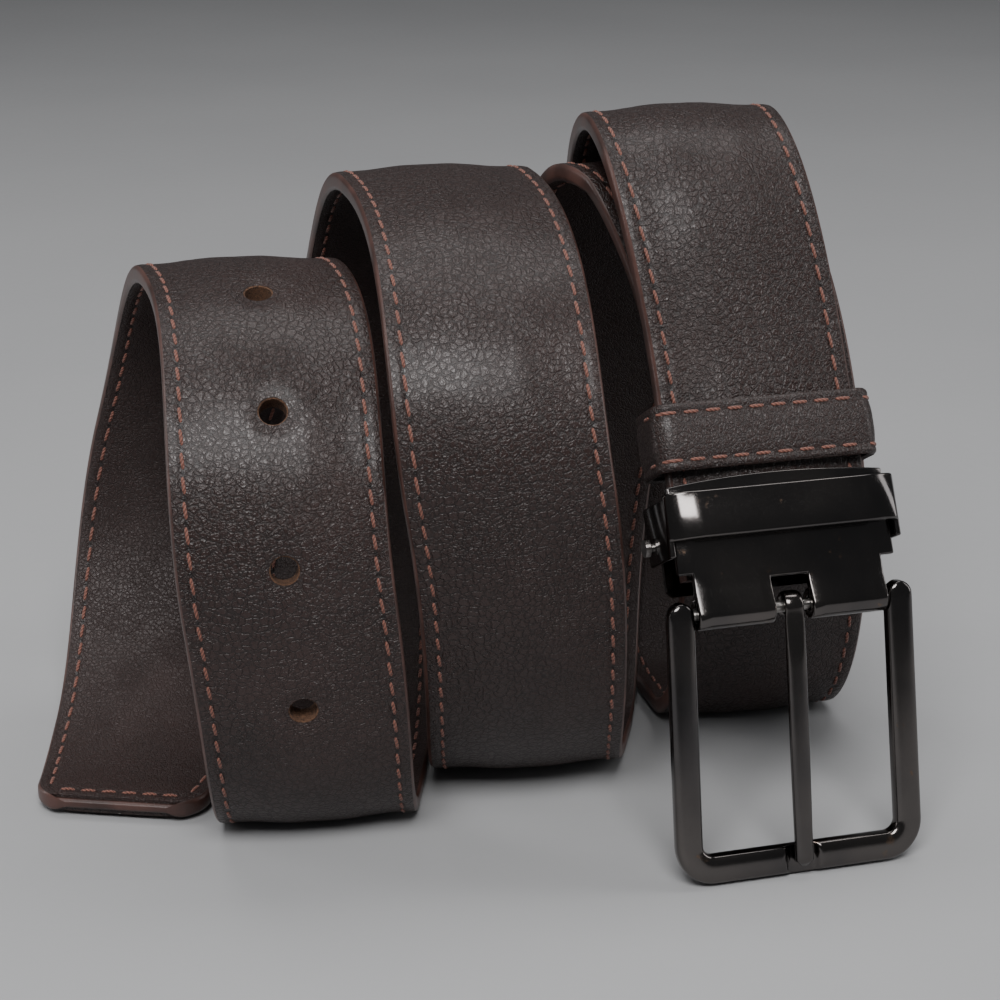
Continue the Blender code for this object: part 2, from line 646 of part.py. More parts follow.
def make_prong(bore):
    """Tongue rolled round the cross pin, lying in the frame's notch."""
    lie = -FRAME_DEPTH / 2 + PRONG_REST - LAYER_GAP      # its back where it meets the bar
    front = lie - PRONG_THICKNESS
    eye = KNUCKLE_RADIUS
    tip = -FRAME_LENGTH + PRONG_SHORT
    start = math.degrees(math.asin(min(1.0, -lie / eye)))
    outline = [(lie, tip + 1.2 * MM), (lie, -math.sqrt(eye**2 - lie**2))]
    outline += arc((0, 0), eye, -90 - start + 0.1, 180, 14)[1:]
    outline += [(-eye, -1 * MM), (front, -PRONG_SHOULDER), (front, tip + 1 * MM),
                (front + 0.7 * MM, tip), (lie - 0.3 * MM, tip)]
    mesh = outline_plate("prong", outline[::-1], PRONG_WIDTH, SIDE_VIEW)
    prong = fitted("prong", mesh, GUNMETAL, FRAME_SEAT, bevel=0.35 * MM)
    boolean(prong, bore, "DIFFERENCE")


def keeper_outline(out):
    """The keeper's inner outline seen along the strap, moved out by a distance."""
    half = STRAP_WIDTH / 2 + KEEPER_SIDE_GAP + out
    front = PIN_OUT - HALF - CROWN - THREAD_GAP - KEEPER_FRONT_GAP - out
    back = PIN_OUT + HALF + KEEPER_BACK_GAP + out
    corner = KEEPER_CORNER + out
    right = arc((half - corner, front + corner), corner, -90, 0, 4)
    right += arc((half - corner, back - corner), corner, 0, 90, 4)
    return mirrored(right)


def band(name, outline, low, high, thickness, finish, closed=True):
    """A strip bent along an outline and given thickness outwards."""
    mesh = bpy.data.meshes.new(name)
    build = bmesh.new()
    feet = [build.verts.new((x, y, low)) for x, y in outline]
    tops = [build.verts.new((x, y, high)) for x, y in outline]
    count = len(outline)
    for i in range(count if closed else count - 1):
        j = (i + 1) % count
        build.faces.new((feet[i], feet[j], tops[j], tops[i]))
    build.to_mesh(mesh)
    build.free()
    made = fitted(name, mesh, finish, SEAT)
    step = made.modifiers.new("thickness", "SOLIDIFY")
    step.thickness = thickness
    step.offset = 1
    step.use_even_offset = True
    return made


def make_keeper():
    low = PLATE_TOP + PLATE_BOW + KEEPER_LIFT
    high = low + KEEPER_WIDTH
    band("keeper_loop", keeper_outline(0), low, high, KEEPER_WALL, FACE_LEATHER)
    lie = keeper_outline(KEEPER_WALL + THREAD_GAP)
    back = max(y for _, y in lie)
    visible = [p for p in lie if p[1] < back - KEEPER_CORNER]
    split = next(i for i in range(len(visible)) if visible[i][0] < 0 < visible[i - 1][0])
    ordered = visible[split:] + visible[:split]
    for name, level in (("keeper_stitch_upper", high - KEEPER_STITCH_TOP),
                        ("keeper_stitch_lower", low + KEEPER_STITCH_LOW)):
        band(name, ordered, level, level + THREAD, THREAD * THREAD_FLATNESS, THREAD_FINISH,
             closed=False)
    staple_y = PIN_OUT + HALF + KEEPER_BACK_GAP + KEEPER_WALL + LAYER_GAP
    middle = (low + high) / 2
    half = STAPLE_WIDTH / 2
    outline = mirrored([(half, middle - STAPLE_WIRE / 2), (half, middle + STAPLE_WIRE / 2)])
    stand = Matrix.Translation((0, staple_y + STAPLE_DEPTH / 2, 0)) @ FRONT_VIEW
    mesh = outline_plate("keeper_staple", outline, STAPLE_DEPTH, stand)
    fitted("keeper_staple", mesh, PIN_STEEL, SEAT)


def make_cross_pin():
    reach = FRAME_WIDTH / 2 - PIN_SHORT
    fitted("cross_pin", rod_mesh("cross_pin", [(-reach, reach, PIN_RADIUS)]), PIN_STEEL, SEAT)


make_strap()
PIN_BORE = make_clamp_plate()
BAR_OUTER = make_clamp_bar()
make_clamp_flap(BAR_OUTER)
make_cross_pin()
make_frame(PIN_BORE)
make_prong(PIN_BORE)
make_keeper()
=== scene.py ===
import bisect
import math

import bmesh
import bpy
from mathutils import Matrix, Vector, noise


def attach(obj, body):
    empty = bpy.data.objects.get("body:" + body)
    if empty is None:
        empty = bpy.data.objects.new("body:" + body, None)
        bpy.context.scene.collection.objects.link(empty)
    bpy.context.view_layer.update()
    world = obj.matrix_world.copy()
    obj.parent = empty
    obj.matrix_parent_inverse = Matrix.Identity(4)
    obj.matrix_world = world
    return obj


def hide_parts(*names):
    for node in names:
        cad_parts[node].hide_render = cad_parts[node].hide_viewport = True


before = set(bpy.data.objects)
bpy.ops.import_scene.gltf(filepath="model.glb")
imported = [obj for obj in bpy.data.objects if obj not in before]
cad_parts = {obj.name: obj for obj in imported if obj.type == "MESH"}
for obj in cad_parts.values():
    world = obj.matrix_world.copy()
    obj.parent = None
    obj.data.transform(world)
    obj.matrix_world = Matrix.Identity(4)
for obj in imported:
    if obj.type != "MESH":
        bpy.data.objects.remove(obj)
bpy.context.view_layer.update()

MM = 0.001


# The strap is one long band of calf leather that goes round three times, like a loose
# spring lying on its side. It runs from the round-cornered tip on the floor to the clamp.

STRAP_WIDTH = 35 * MM
STRAP_THICKNESS = 3.4 * MM
HALF = STRAP_THICKNESS / 2
CROWN = 0.9 * MM
TIP_CORNER = 5 * MM
TIP_TAPER = 2.7 * MM
TIP_TAPER_LENGTH = 26 * MM
TURN_PITCH = 39 * MM
LAYER_STEP = 10 * MM
REST_RUN = 8 * MM
REST_HEIGHT = HALF + CROWN
TOP_1, TOP_2, TOP_3 = 93 * MM, 105.5 * MM, 106.5 * MM
CLAMP_LEAN = math.radians(30)
FRAME_LEAN = math.radians(13)
BUCKLE_TURN = math.radians(15)
FRAME_LENGTH = 46 * MM
FRAME_DEPTH = 3.4 * MM
PIN_OUT = HALF + CROWN - 0.1 * MM
PIN_HEIGHT = FRAME_LENGTH * math.cos(FRAME_LEAN) + FRAME_DEPTH / 2 * math.sin(FRAME_LEAN)
PIN = Vector((1.07 * TURN_PITCH, -38 * MM, PIN_HEIGHT))
STRAP_END = 6 * MM
RUN = 40 * MM
QUARTER = 0.5523                  # handle length that rounds a quarter turn
UP = Vector((0, 0, 1))
SEAT = (Matrix.Translation(PIN) @ Matrix.Rotation(BUCKLE_TURN, 4, "Z")
        @ Matrix.Rotation(-CLAMP_LEAN, 4, "X"))
FRAME_SEAT = SEAT @ Matrix.Rotation(CLAMP_LEAN - FRAME_LEAN, 4, "X")
STEP = 1.2 * MM                   # between two cross sections of the strap


def turned(angle):
    """Width direction and the level direction square to it, for a turn about the vertical."""
    turn = Matrix.Rotation(angle, 3, "Z")
    return turn @ Vector((1, 0, 0)), turn @ Vector((0, 1, 0))


def waypoints():
    """Middle line of the strap: turns along the coil, then how far away and up, and its turn."""
    run_top = SEAT @ Vector((0, PIN_OUT, RUN))
    back = 43 * MM
    return [
        ("level", (-1.915, -26 * MM, REST_HEIGHT), -3),
        ("upright", (-1.74, 29 * MM, 0.56 * TOP_1), 6),
        ("level", (-1.31, -5 * MM, TOP_1), 9),
        ("upright", (-1.05, -48 * MM, 0.52 * TOP_1), 8),
        ("level", (-0.985, -23 * MM, REST_HEIGHT), 8),
        ("upright", (-0.87, 51 * MM, 0.50 * TOP_2), 9),
        ("level", (-0.46, 14 * MM, TOP_2), 9),
        ("upright", (-0.13, -39 * MM, 0.61 * TOP_2), 8),
        ("level", (0.00, 0.0, REST_HEIGHT), 7),
        ("upright", (0.25, back, 0.54 * TOP_3), 8),
        ("level", (0.59, 16 * MM, TOP_3), 8),
        ("upright", (1.05, -5 * MM, 0.56 * TOP_3), 9),
        ("level", (1.00, 20 * MM, REST_HEIGHT), 10),
        ("upright", (0.66, back + LAYER_STEP, 0.54 * TOP_3), 10),
        ("level", (0.655, 15 * MM, TOP_3 + LAYER_STEP), 13),
        ("end", (run_top.x / TURN_PITCH, run_top.y, run_top.z), math.degrees(BUCKLE_TURN)),
    ]


def route_knots():
    """Waypoints as points with a heading; a stretch on the floor becomes two points."""
    points = [(kind, Vector((p[0] * TURN_PITCH, p[1], p[2])), math.radians(turn))
              for kind, p, turn in waypoints()]
    knots = []
    for i, (kind, place, turn) in enumerate(points):
        width, level = turned(turn)
        along = points[min(i + 1, len(points) - 1)][1] - points[max(i - 1, 0)][1]
        if kind == "level":
            heading = (width * along.dot(width) + level * along.dot(level)).normalized()
            if abs(heading.dot(level)) < 0.9:
                heading = (level * math.copysign(1, heading.dot(level))
                           + width * math.copysign(0.35, along.dot(width))).normalized()
        elif kind == "upright":
            heading = (width * along.dot(width) + UP * along.z).normalized()
        else:
            heading = -(SEAT.to_3x3() @ UP)
        rests = kind == "level" and abs(place.z - REST_HEIGHT) < 0.01 * MM
        for shift in ((-REST_RUN / 2, REST_RUN / 2) if rests else (0,)):
            knots.append((kind, place + heading * shift, turn, heading))
    return knots


def handle(kind, heading, step, turn):
    if kind == "end":
        return heading * (QUARTER * step.length * 0.7)
    main = UP if kind == "upright" else turned(turn)[1]
    return heading * (abs(QUARTER * step.dot(main)) / max(abs(heading.dot(main)), 0.5))


def strap_line():
    """Centre, width direction, outward direction and heading in small steps, tip to clamp."""
    knots = route_knots()
    line = []
    for (kind_a, a, turn_a, dir_a), (kind_b, b, turn_b, dir_b) in zip(knots, knots[1:]):
        step = b - a
        if step.z == 0 and step.length < REST_RUN * 1.01:
            p1, p2 = a.lerp(b, 1 / 3), a.lerp(b, 2 / 3)
        else:
            p1 = a + handle(kind_a, dir_a, step, turn_a)
            p2 = b - handle(kind_b, dir_b, step, turn_b)
        parts = math.ceil(step.length * 1.1 / STEP)
        for k in range(parts):
            t = k / parts
            u = 1 - t
            centre = a * u**3 + p1 * (3 * u * u * t) + p2 * (3 * u * t * t) + b * t**3
            slope = (p1 - a) * (u * u) + (p2 - p1) * (2 * u * t) + (b - p2) * (t * t)
            line.append((centre, slope.normalized(), turn_a + (turn_b - turn_a) * t))
    _, last, last_turn, last_dir = knots[-1]
    straight = RUN - STRAP_END
    parts = math.ceil(straight / STEP)
    for k in range(parts + 1):
        line.append((last + last_dir * (straight * k / parts), last_dir, last_turn))
    found = []
    for centre, along, turn in line:
        width = turned(turn)[0]
        width = (width - along * width.dot(along)).normalized()
        found.append((centre, width, along.cross(width), along))
    first, width, normal, along = found[0]
    fine = [0.02, 0.1, 0.25, 0.45, 0.7, 1.0, 1.4, 1.9, 2.5, 3.2, 4.0, 4.8]
    opening = [(first + along * (d * MM), width, normal, along) for d in fine]
    later = [s for s in found if (s[0] - first).length > 5.4 * MM or s[0].z > 5 * MM]
    return opening + later


LINE = strap_line()
TRAVELLED = [0.0]
for behind, ahead in zip(LINE, LINE[1:]):
    TRAVELLED.append(TRAVELLED[-1] + (ahead[0] - behind[0]).length)
LENGTH = TRAVELLED[-1]


def half_width(distance):
    """Half of the strap's width this far from the tip, whose two corners are rounded."""
    side = STRAP_WIDTH / 2
    side -= TIP_TAPER * max(0.0, 1 - distance / TIP_TAPER_LENGTH) ** 2
    if distance < TIP_CORNER:
        side -= TIP_CORNER - math.sqrt(TIP_CORNER**2 - (TIP_CORNER - distance) ** 2)
    return side


def eased(value, low, high):
    """0 below low, 1 above high, smooth in between."""
    share = min(max((value - low) / (high - low), 0.0), 1.0)
    return share * share * (3 - 2 * share)


def on_strap(x, distance, lift):
    """Point this far across, along and out from the strap's middle line."""
    i = min(max(bisect.bisect_right(TRAVELLED, distance) - 1, 0), len(LINE) - 2)
    share = (distance - TRAVELLED[i]) / (TRAVELLED[i + 1] - TRAVELLED[i])
    a, b = LINE[i], LINE[i + 1]
    centre = a[0].lerp(b[0], share)
    return centre + a[1].lerp(b[1], share) * x + a[2].lerp(b[2], share) * lift


def lofted(name, rings, across, along, finish, closed=False, smooth=40):
    """Skin over rings of points; its UV map holds metres round each ring and along them."""
    count, rows = len(rings[0]), len(rings)
    faces, places = [], []
    for i in range(rows if closed else rows - 1):
        low, high = i * count, (i + 1) % rows * count
        for j in range(count):
            k = (j + 1) % count
            faces.append((low + j, low + k, high + k, high + j))
            places += [(across[j], along[i]), (across[j + 1], along[i]),
                       (across[j + 1], along[i + 1]), (across[j], along[i + 1])]
    if not closed:
        for row in (0, rows - 1):
            faces.append([row * count + j for j in range(count)])
            places += [(across[j], along[row]) for j in range(count)]
    mesh = bpy.data.meshes.new(name)
    mesh.from_pydata([p for ring in rings for p in ring], [], faces)
    layer = mesh.uv_layers.new(name="UVMap")
    layer.data.foreach_set("uv", [v for place in places for v in place])
    return made_object(name, mesh, finish, smooth)


def made_object(name, mesh, finish, smooth=40, place=None):
    """A mesh with its faces pointing out, shaded smooth but for its sharp corners."""
    build = bmesh.new()
    build.from_mesh(mesh)
    bmesh.ops.recalc_face_normals(build, faces=build.faces)
    if place:
        bmesh.ops.transform(build, matrix=place, verts=build.verts)
    build.to_mesh(mesh)
    build.free()
    mesh.shade_smooth()
    mesh.set_sharp_from_angle(angle=math.radians(smooth))
    made = bpy.data.objects.new(name, mesh)
    mesh.materials.append(finish)
    bpy.context.scene.collection.objects.link(made)
    return made


class Value:
    """A shader socket that takes part in sums; numbers stay numbers."""

    def __init__(self, finish, socket, vector=False):
        self.finish, self.socket, self.vector = finish, socket, vector

    def sum(self, operation, *others):
        kind = "ShaderNodeVectorMath" if self.vector else "ShaderNodeMath"
        node = self.finish.tree.nodes.new(kind)
        node.operation = operation
        for slot, other in zip(node.inputs, others):
            self.finish.feed(slot, other)
        return Value(self.finish, node.outputs[0], self.vector)

    def __add__(self, other):
        return self.sum("ADD", self, other)

    __radd__ = __add__

    def __mul__(self, other):
        if self.vector and isinstance(other, (int, float)):
            other = (other,) * 3
        return self.sum("MULTIPLY", self, other)

    __rmul__ = __mul__

    def __sub__(self, other):
        return self.sum("SUBTRACT", self, other)

    def __rsub__(self, other):
        return self.sum("SUBTRACT", other, self)

    def __truediv__(self, other):
        return self.sum("DIVIDE", self, other)

    def __rtruediv__(self, other):
        return self.sum("DIVIDE", other, self)

    def __pow__(self, other):
        return self.sum("POWER", self, other)

    def __abs__(self):
        return self.sum("ABSOLUTE", self)

    def wave(self):
        return self.sum("SINE", self)

    def wrap(self, span):
        """Distance from the nearest multiple of span."""
        return self.sum("PINGPONG", self, span / 2)

    def ramp(self, low, high, to_low=0.0, to_high=1.0):
        """Smooth step from low to high."""
        return self.finish.node("ShaderNodeMapRange", {
            "Value": self, "From Min": low, "From Max": high, "To Min": to_low,
            "To Max": to_high}, interpolation_type="SMOOTHSTEP")


class Finish:
    """One material: node() makes any node, paint() sets the surface."""

    def __init__(self, name):
        self.material = bpy.data.materials.new(name)
        self.material.use_nodes = True
        self.tree = self.material.node_tree
        self.shader = self.tree.nodes["Principled BSDF"]

    def feed(self, slot, value):
        if isinstance(value, Value):
            self.tree.links.new(value.socket, slot)
        else:
            slot.default_value = value

    def node(self, kind, values=(), output=0, vector=False, **settings):
        node = self.tree.nodes.new(kind)
        for name, setting in settings.items():
            setattr(node, name, setting)
        for name, value in dict(values).items():
            self.feed(node.inputs[name], value)
        return Value(self, node.outputs[output], vector)

    def place(self):
        """Place on the object, in metres."""
        return self.node("ShaderNodeTexCoord", output="Object", vector=True)

    def measured(self):
        """Metres round and along the piece, from its UV map."""
        split = self.tree.nodes.new("ShaderNodeSeparateXYZ")
        chart = self.node("ShaderNodeTexCoord", output="UV", vector=True)
        self.tree.links.new(chart.socket, split.inputs[0])
        return Value(self, split.outputs[0]), Value(self, split.outputs[1])

    def grain(self, scale, place=None, detail=3.0, rough=0.5, distortion=0.0):
        return self.node("ShaderNodeTexNoise", {
            "Vector": place or self.place(), "Scale": scale, "Detail": detail,
            "Roughness": rough, "Distortion": distortion}, output=0)

    def cells(self, scale, place, feature="DISTANCE_TO_EDGE"):
        return self.node("ShaderNodeTexVoronoi", {"Vector": place, "Scale": scale},
                         output="Distance", feature=feature)

    def mix(self, first, second, share):
        """Colour between two colours."""
        node = self.tree.nodes.new("ShaderNodeMix")
        node.data_type = "RGBA"
        for slot, value in ((node.inputs["Factor"], share), (node.inputs[6], first),
                            (node.inputs[7], second)):
            self.feed(slot, (*value, 1) if isinstance(value, tuple) else value)
        return Value(self, node.outputs[2], True)

    def bump(self, height, depth, strength=1.0, under=None):
        values = {"Height": height, "Distance": depth, "Strength": strength}
        if under:
            values["Normal"] = under
        return self.node("ShaderNodeBump", values, vector=True)

    def paint(self, **sockets):
        for name, value in sockets.items():
            value = (*value, 1) if isinstance(value, tuple) and len(value) == 3 else value
            self.feed(self.shader.inputs[name.replace("_", " ")], value)
        return self.material


def worked(name, colour, crease_shade_colour, pebble, crease_depth, shine):
    """Printed calf leather: pebbles with creases between them, pores, and soft long wrinkles; the
    creases are painted darker, a painted shade.
    """
    leather = Finish(name)
    place = leather.place()
    drift = leather.node("ShaderNodeTexNoise", {"Vector": place, "Scale": 0.9 / pebble,
                                                "Detail": 2.0}, output="Color", vector=True)
    bent = place + drift * (pebble * 0.9)
    coarse = leather.cells(1 / pebble, bent).ramp(0.0, 0.16)
    small = leather.cells(2.3 / pebble, bent).ramp(0.0, 0.22)
    patch = leather.grain(70.0, place).ramp(0.42, 0.62)
    pores = leather.grain(6500.0, place, detail=2.0)
    wrinkle = leather.grain(190.0, place, detail=3.0, rough=0.55, distortion=0.9)
    height = coarse * 0.55 + small * (0.2 + 0.25 * patch) + pores * 0.14 + wrinkle * 0.9
    tone = leather.grain(38.0, place, detail=4.0)
    # The creases between the pebbles take the darker colour: painted shade.
    light = leather.mix(crease_shade_colour, colour, (coarse * 0.65 + small * 0.35) ** 0.7)
    worn = tuple(min(1.0, c * 1.5 + 0.004) for c in colour)
    shade = leather.mix(light, worn, tone.ramp(0.5, 0.75, 0.0, 0.45))
    rough = shine + (1 - coarse) * 0.16 + pores * 0.1 + tone * 0.08
    return leather, shade, rough, leather.bump(height, crease_depth, 0.85)


# The face is one skin of calf leather, pulled over a felt pad so that its middle stands up.
# It dips along the seams and round the five punched holes.

PAD_WIDTH = 25 * MM
PAD_START = 6 * MM
PAD_RAMP = 12 * MM
STITCH_INSET = 2.6 * MM
LIP = 0.5 * MM                    # painted border outside the skin
GROOVE = 0.16 * MM
GROOVE_HALF = 0.75 * MM
HOLE_RADIUS = 2.5 * MM
HOLES = [136 * MM + i * 25 * MM for i in range(5)]
HOLE_DIP = 0.38 * MM
COLUMNS = 76
STITCH_PITCH = 3.75 * MM


def face_height(x, distance):
    """How far the face stands out from the strap's middle line."""
    side = half_width(distance)
    rise = 0.1 + 0.9 * eased(distance, PAD_START, PAD_START + PAD_RAMP)
    pad = PAD_WIDTH / 2 * side / (STRAP_WIDTH / 2)
    height = HALF + CROWN * rise * (1 - eased(abs(x), 3.0 * MM, pad + 1.8 * MM))
    seam = min(abs(side - STITCH_INSET - abs(x)), abs(distance - STITCH_INSET))
    height -= GROOVE * (1 - eased(seam, 0.0, GROOVE_HALF))
    border = min(side - LIP - abs(x), distance - LIP)
    height -= 0.14 * MM * (1 - eased(border, 0.0, 0.8 * MM))
    for hole in HOLES:
        if abs(distance - hole) < 9 * MM:
            reach = math.hypot(x, distance - hole)
            height -= HOLE_DIP * (1 - eased(reach, 2.2 * MM, 5.2 * MM))
    soft = noise.noise(Vector((x, distance, 0)) * 160) + 0.6 * noise.noise(
        Vector((x * 1.6, distance * 0.8, 7 * MM)) * 420)
    return height + 0.05 * MM * soft * rise


def face_finish():
    # The second colour is the darker tone painted into the creases between the pebbles: painted shade.
    colour, crease_shade = (0.026, 0.0125, 0.0105), (0.008, 0.004, 0.0034)
    leather, shade, rough, relief = worked("face_leather", colour, crease_shade, 1.3 * MM, 0.24 * MM, 0.27)
    across, along = leather.measured()
    seam = abs(abs(across) - (STRAP_WIDTH / 2 - STITCH_INSET))
    # Each needle hole between two stitches is painted as a near-black spot: painted shade in a hole that
    # is not modelled.
    needle_hole_shade = (along.wrap(STITCH_PITCH) + seam * 1.2).ramp(0.25 * MM, 0.75 * MM)
    shade = leather.mix((0.006, 0.0025, 0.002), shade, needle_hole_shade)
    return leather.paint(Base_Color=shade, Roughness=rough, Normal=relief, Coat_Weight=0.12,
                         Coat_Roughness=0.25, IOR=1.48)


def strap_skin(name, section, across, finish, start=0.0):
    rings, along = [], []
    for (centre, width, normal, _), distance in zip(LINE, TRAVELLED):
        if distance >= start:
            rings.append([centre + width * x + normal * z for x, z in section(distance)])
            along.append(distance)
    return lofted(name, rings, across, along, finish)


def spread(side):
    return [side * (2 * k / (COLUMNS - 1) - 1) for k in range(COLUMNS)]


def face_section(distance):
    side = half_width(distance) - LIP
    top = [(x, face_height(x, distance)) for x in spread(side)]
    return top + [(side, 0.1 * MM), (-side, 0.1 * MM)]


full = spread(STRAP_WIDTH / 2 - LIP)
face = strap_skin("calf_face", face_section, full + [full[-1], full[0], full[0]], face_finish(),
                  start=LIP * 0.9)


# Felt and bonded fibre fill the middle; its rim is sanded round and painted a lighter brown,
# which shows as a smooth border on both sides and round the tip.

RIM = 1.0 * MM


def painted_edge():
    paint = Finish("edge_paint")
    place = paint.place()
    blotch = paint.grain(150.0, place, detail=4.0)
    fine = paint.grain(2600.0, place, detail=2.0)
    shade = paint.mix((0.036, 0.016, 0.0125), (0.085, 0.038, 0.030), blotch.ramp(0.3, 0.7))
    relief = paint.bump(blotch * 0.8 + fine * 0.25, 0.12 * MM, 0.6)
    return paint.paint(Base_Color=shade, Roughness=blotch * 0.18 + 0.3 + fine * 0.08,
                       Normal=relief, Coat_Weight=0.2, Coat_Roughness=0.3)


def rim_section(distance):
    near = min(distance / RIM, 1.0)
    slim = 0.3 + 0.7 * math.sqrt(max(0.0, 1 - (1 - near) ** 2))
    side = half_width(distance)
    bead, sunk = HALF - 0.02 * MM - RIM, HALF - 0.75 * MM
    ring = []
    for cx, cz, low in ((1, -1, -60), (1, 1, 0), (-1, 1, 120), (-1, -1, 180)):
        corner = [(cx * (side - RIM) + RIM * math.cos(math.radians(low + 12 * k)),
                   cz * bead + RIM * math.sin(math.radians(low + 12 * k))) for k in range(6)]
        inner = (cx * (side - 1.3 * MM), cz * sunk)
        ring += corner + [inner] if cx * cz > 0 else [inner] + corner
    return [(x, z * slim) for x, z in ring]


round_rim = [RIM * math.radians(12) * k for k in range(29)]
core = strap_skin("painted_core", rim_section, round_rim, painted_edge())


# The lining is a thinner smooth calf skin on the inside. Near the tip a small block of
# plain bars is pressed into it.

BARS = [(54 + 4.2 * k, 2.1) for k in range(7)]      # place along and half length, mm
BAR_ACROSS = 9.5 * MM
BAR_DEEP = 0.28 * MM


def lining_height(x, distance):
    side = half_width(distance)
    height = HALF
    seam = min(abs(side - STITCH_INSET - abs(x)), abs(distance - STITCH_INSET))
    height -= GROOVE * (1 - eased(seam, 0.0, GROOVE_HALF))
    border = min(side - LIP - abs(x), distance - LIP)
    height -= 0.14 * MM * (1 - eased(border, 0.0, 0.8 * MM))
    for k, (middle, reach) in enumerate(BARS):
        row = abs(distance - middle * MM)
        if row < 2 * MM:
            half_bar = (4.5 if k % 2 else 3.4) * MM
            inside = 1 - eased(row, 0.9 * MM, 1.5 * MM)
            inside *= 1 - eased(abs(x - BAR_ACROSS), half_bar, half_bar + 0.5 * MM)
            height -= BAR_DEEP * inside
    for hole in HOLES:
        if abs(distance - hole) < 9 * MM:
            reach = math.hypot(x, distance - hole)
            height += 0.22 * MM * (1 - eased(reach, 2.4 * MM, 4.6 * MM))
    soft = noise.noise(Vector((x, distance, 3 * MM)) * 260)
    return height + 0.05 * MM * soft


def lining_section(distance):
    side = half_width(distance) - LIP
    return [(x, -lining_height(x, distance)) for x in spread(side)] + [
        (side, -0.1 * MM), (-side, -0.1 * MM)]


def lining_finish():
    # The second colour is the darker tone painted into the creases between the pebbles: painted shade.
    colour, crease_shade = (0.030, 0.0145, 0.0125), (0.012, 0.006, 0.005)
    leather, shade, rough, relief = worked("lining_leather", colour, crease_shade, 0.8 * MM, 0.16 * MM, 0.34)
    across, along = leather.measured()
    seam = abs(abs(across) - (STRAP_WIDTH / 2 - STITCH_INSET))
    # Each needle hole between two stitches is painted as a near-black spot: painted shade in a hole that
    # is not modelled.
    needle_hole_shade = (along.wrap(STITCH_PITCH) + seam * 1.2).ramp(0.25 * MM, 0.75 * MM)
    shade = leather.mix((0.006, 0.0025, 0.002), shade, needle_hole_shade)
    return leather.paint(Base_Color=shade, Roughness=rough, Normal=relief)


lining = strap_skin("calf_lining", lining_section, full + [full[-1], full[0], full[0]],
                    lining_finish(), start=LIP * 0.9)


# Five holes are punched right through all three layers with a round punch. Their walls
# show the raw tan fibre of the leather.

def raw_fibre():
    raw = Finish("raw_fibre")
    place = raw.place()
    strands = raw.grain(2400.0, place, detail=4.0, rough=0.7, distortion=1.5)
    shade = raw.mix((0.035, 0.016, 0.010), (0.17, 0.085, 0.045), strands.ramp(0.35, 0.65))
    return raw.paint(Base_Color=shade, Roughness=0.9,
                     Normal=raw.bump(strands, 0.25 * MM, 0.9))


def hole_matrix(distance):
    out = (on_strap(0, distance, MM) - on_strap(0, distance, 0)).normalized()
    across = on_strap(MM, distance, 0) - on_strap(0, distance, 0)
    across = (across - out * across.dot(out)).normalized()
    turn = Matrix((across, out.cross(across), out)).transposed().to_4x4()
    return Matrix.Translation(on_strap(0, distance, 0)) @ turn


def punch_holes(pieces):
    mesh = bpy.data.meshes.new("punches")
    build = bmesh.new()
    for hole in HOLES:
        bmesh.ops.create_cone(build, cap_ends=True, segments=48, radius1=HOLE_RADIUS,
                              radius2=HOLE_RADIUS, depth=12 * MM, matrix=hole_matrix(hole))
    build.to_mesh(mesh)
    build.free()
    punch = bpy.data.objects.new("punches", mesh)
    bpy.context.scene.collection.objects.link(punch)
    for piece in pieces:
        step = piece.modifiers.new("holes", "BOOLEAN")
        step.operation = "DIFFERENCE"
        step.object = punch
        step.solver = "EXACT"
        seen = piece.evaluated_get(bpy.context.evaluated_depsgraph_get())
        cut = bpy.data.meshes.new_from_object(seen)
        piece.modifiers.clear()
        piece.data = cut
        cut.set_sharp_from_angle(angle=math.radians(40))
    bpy.data.objects.remove(punch, do_unlink=True)


def hole_wall(number, distance, finish):
    """A thin sleeve of raw fibre just inside one punched hole."""
    place = hole_matrix(distance)
    high, low = face_height(HOLE_RADIUS, distance) - 0.12 * MM, -HALF + 0.15 * MM
    outer, inner = HOLE_RADIUS - 0.01 * MM, HOLE_RADIUS - 0.22 * MM
    rings, turns = [], 48
    for k in range(turns):
        angle = 2 * math.pi * k / turns
        rough = 0.08 * MM * noise.noise(Vector((math.cos(angle), math.sin(angle), number)) * 4)
        spots = ((outer, high), (inner + rough, high - 0.15 * MM), (inner - rough, 0.0),
                 (inner + rough, low + 0.1 * MM), (outer, low))
        rings.append([place @ Vector((r * math.cos(angle), r * math.sin(angle), z))
                      for r, z in spots])
    steps = [2 * math.pi * HOLE_RADIUS * k / turns for k in range(turns + 1)]
    return lofted(f"punched_wall_{number}", rings, [MM * k for k in range(6)], steps, finish,
                  closed=True)


punch_holes([face, core, lining])
fibre = raw_fibre()
walls = [hole_wall(i + 1, hole, fibre) for i, hole in enumerate(HOLES)]

for piece, node, slot in ((face, "strap_face", "face_leather"), (core, "strap_padding", "padding_felt"),
                          (lining, "strap_lining", "lining_leather")):
    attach(piece, "belt")
    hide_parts(node)
for wall in walls:
    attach(wall, "belt")


# A waxed terracotta thread is sewn all round, a saddle stitch that shows on both sides.
# Each stitch lies a little askew and its ends sink into the needle holes.

THREAD = 0.62 * MM
STITCH_LENGTH = 3.1 * MM
SLANT = 0.14 * MM


